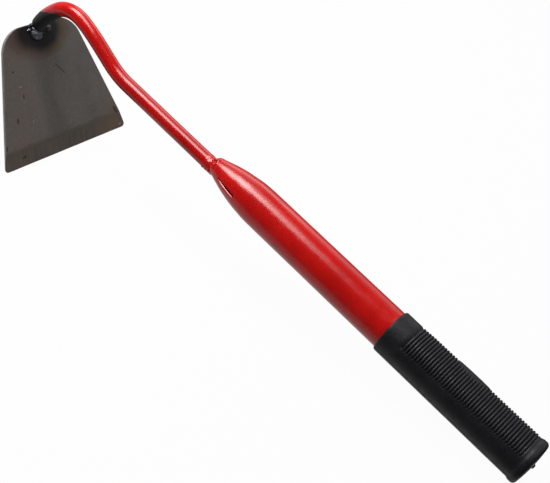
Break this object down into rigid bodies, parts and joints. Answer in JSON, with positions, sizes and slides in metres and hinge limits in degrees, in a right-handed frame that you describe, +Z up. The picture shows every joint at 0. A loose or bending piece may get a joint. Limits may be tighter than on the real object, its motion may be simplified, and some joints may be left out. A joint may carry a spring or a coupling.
{
  "type": "hand hoe",
  "caption": "Short-handled hand hoe: a flared steel blade on a bent round neck rod, welded to the pressed nose of a red tube handle with a black ribbed grip sleeve.",
  "frame": {"origin": "Middle of the box's base: the floor under the middle of the hoe as it rests on its cutting edge and on the flange of its grip.", "axes": "+X runs along the handle towards the closed end of the grip, +Y along the blade's width, +Z up from the floor."},
  "size_m": [0.4438, 0.1136, 0.1128],
  "materials": {
    "handle_paint": "glossy red enamel on a steel tube",
    "neck_paint": "glossy red enamel, scorched black at the blade's weld",
    "neck_weld_paint": "glossy red enamel over a rough weld",
    "blade_steel": "dark mill scale with rust tints and a ground edge",
    "blade_weld_metal": "as welded, bluish grey",
    "grip_pvc": "soft black PVC, satin"
  },
  "bodies": {
    "root": {"blade": "blade_steel", "blade_weld": "blade_weld_metal", "neck_rod": "neck_paint", "neck_weld": "neck_weld_paint", "handle_tube": "handle_paint", "grip": "grip_pvc"}
  },
  "joints": []
}
